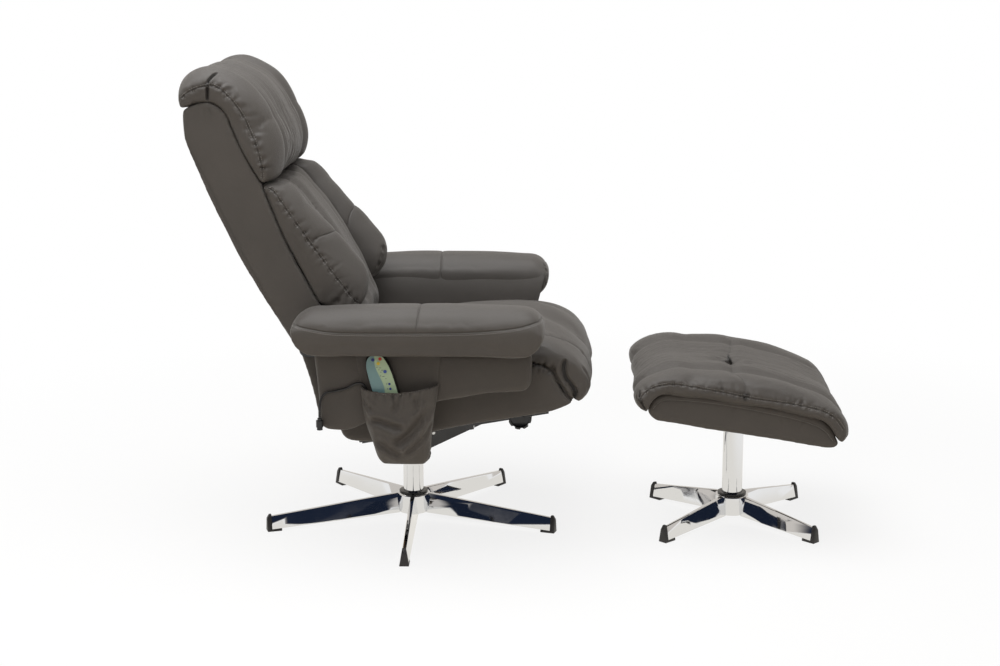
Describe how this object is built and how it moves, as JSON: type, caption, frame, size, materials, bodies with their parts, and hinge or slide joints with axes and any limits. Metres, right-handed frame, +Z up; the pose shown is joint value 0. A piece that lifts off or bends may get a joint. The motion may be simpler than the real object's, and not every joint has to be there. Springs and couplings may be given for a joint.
{
  "type": "reflexology recliner chair with footstool",
  "caption": "Leather swivel recliner on a chromed star base with padded armrests, a side pocket holding a massage handset on a lead, and a matching swivel footstool.",
  "frame": {"origin": "on the floor under the middle of the chair and footstool pair, taken without the handset lead and its plug", "axes": "+X from the chair towards the footstool, the way the sitter faces; +Y to the sitter's left; +Z up"},
  "size_m": [1.3993, 0.76, 1.0217],
  "materials": {
    "leather": "soft grained dark grey-brown leather over foam or board",
    "chrome": "polished",
    "black_plastic": "fine satin",
    "white_nylon": "smooth",
    "black_steel": "satin powder coat",
    "zinc_steel": "zinc plated",
    "beech_ply": "raw plywood",
    "webbing": "woven elastic webbing",
    "motor_housing": "moulded",
    "lead_rubber": "smooth sheath",
    "face_teal": "printed membrane in two tones without words",
    "key_navy": "smooth",
    "key_red": "smooth",
    "key_yellow": "smooth",
    "key_blue": "smooth"
  },
  "bodies": {
    "floor_bases": {"chair_hub": "chrome", "chair_hub_bush": "black_plastic", "chair_thrust_washer": "white_nylon", "chair_legs": "chrome", "chair_feet": "black_plastic", "stool_hub": "chrome", "stool_hub_bush": "black_plastic", "stool_thrust_washer": "white_nylon", "stool_legs": "chrome", "stool_feet": "black_plastic"},
    "carrier": {"chair_column": "chrome", "column_plate": "black_steel", "plate_bolts": "zinc_steel", "mechanism_tray": "black_steel", "crossbars": "black_steel", "slide_rails": "black_steel", "side_plates": "black_steel", "side_panel_left": "leather", "side_panel_right": "leather", "armrest_left": "leather", "armrest_right": "leather", "pocket_back_sheet": "leather", "pocket_bag": "leather", "handset_case": "black_plastic", "handset_face_plate": "face_teal", "cord_strain_relief": "black_plastic", "handset_cord": "lead_rubber", "cord_plug": "black_plastic"},
    "back": {"back_boards": "leather", "back_rear_panel": "leather", "back_crossbars": "beech_ply", "back_webbing": "webbing", "back_center_cushion": "leather", "back_bolster_left": "leather", "back_bolster_right": "leather", "head_cushion": "leather", "back_motors": "motor_housing", "pivot_bolts": "zinc_steel", "link_ears": "black_steel"},
    "seat": {"seat_sides": "leather", "seat_end_rails": "leather", "seat_webbing": "webbing", "seat_motors": "motor_housing", "seat_battens": "beech_ply", "seat_runners": "black_steel", "link_plates": "black_steel", "clamp_nut": "zinc_steel", "seat_cushion": "leather"},
    "lock_knob": {"lock_knob": "black_plastic"},
    "key_power": {"key_power": "key_navy"},
    "key_mode": {"key_mode": "key_red"},
    "key_timer": {"key_timer": "key_yellow"},
    "key_level": {"key_level": "key_blue"},
    "key_upper_zone": {"key_upper_zone": "key_navy"},
    "key_lower_zone": {"key_lower_zone": "key_navy"},
    "stool_top": {"stool_column": "chrome", "stool_plate": "black_steel", "stool_screws": "zinc_steel", "stool_frame": "leather", "stool_cushion": "leather"}
  },
  "joints": [
    {"name": "chair_swivel", "type": "hinge", "parent": "floor_bases", "child": "carrier", "pos_m": [-0.237, 0, 0.1], "axis": [0, 0, 1], "continuous": true},
    {"name": "stool_swivel", "type": "hinge", "parent": "floor_bases", "child": "stool_top", "pos_m": [0.479, 0.015, 0.1], "axis": [0, 0, 1], "continuous": true},
    {"name": "back_recline", "type": "hinge", "parent": "carrier", "child": "back", "pos_m": [-0.437, 0, 0.442], "axis": [0, -1, 0], "range_deg": [0, 20]},
    {"name": "seat_slide", "type": "slide", "parent": "carrier", "child": "seat", "axis": [0.9848, 0, 0.1736], "range_m": [0, 0.0502]},
    {"name": "lock_knob_turn", "type": "hinge", "parent": "seat", "child": "lock_knob", "pos_m": [0.00822, -0.2, 0.2885], "axis": [0, -1, 0], "range_deg": [0, 270]},
    {"name": "key_power_press", "type": "slide", "parent": "carrier", "child": "key_power", "axis": [0, 1, 0], "range_m": [0, 0.0006], "stiffness_N_per_m": 1200},
    {"name": "key_mode_press", "type": "slide", "parent": "carrier", "child": "key_mode", "axis": [0, 1, 0], "range_m": [0, 0.0006], "stiffness_N_per_m": 1200},
    {"name": "key_timer_press", "type": "slide", "parent": "carrier", "child": "key_timer", "axis": [0, 1, 0], "range_m": [0, 0.0006], "stiffness_N_per_m": 1200},
    {"name": "key_level_press", "type": "slide", "parent": "carrier", "child": "key_level", "axis": [0, 1, 0], "range_m": [0, 0.0006], "stiffness_N_per_m": 1200},
    {"name": "key_upper_zone_press", "type": "slide", "parent": "carrier", "child": "key_upper_zone", "axis": [0, 1, 0], "range_m": [0, 0.0006], "stiffness_N_per_m": 1200},
    {"name": "key_lower_zone_press", "type": "slide", "parent": "carrier", "child": "key_lower_zone", "axis": [0, 1, 0], "range_m": [0, 0.0006], "stiffness_N_per_m": 1200}
  ],
  "couplings": [
    {"joint": "seat_slide", "follows": "back_recline", "m_per_rad": 0.14128}
  ]
}
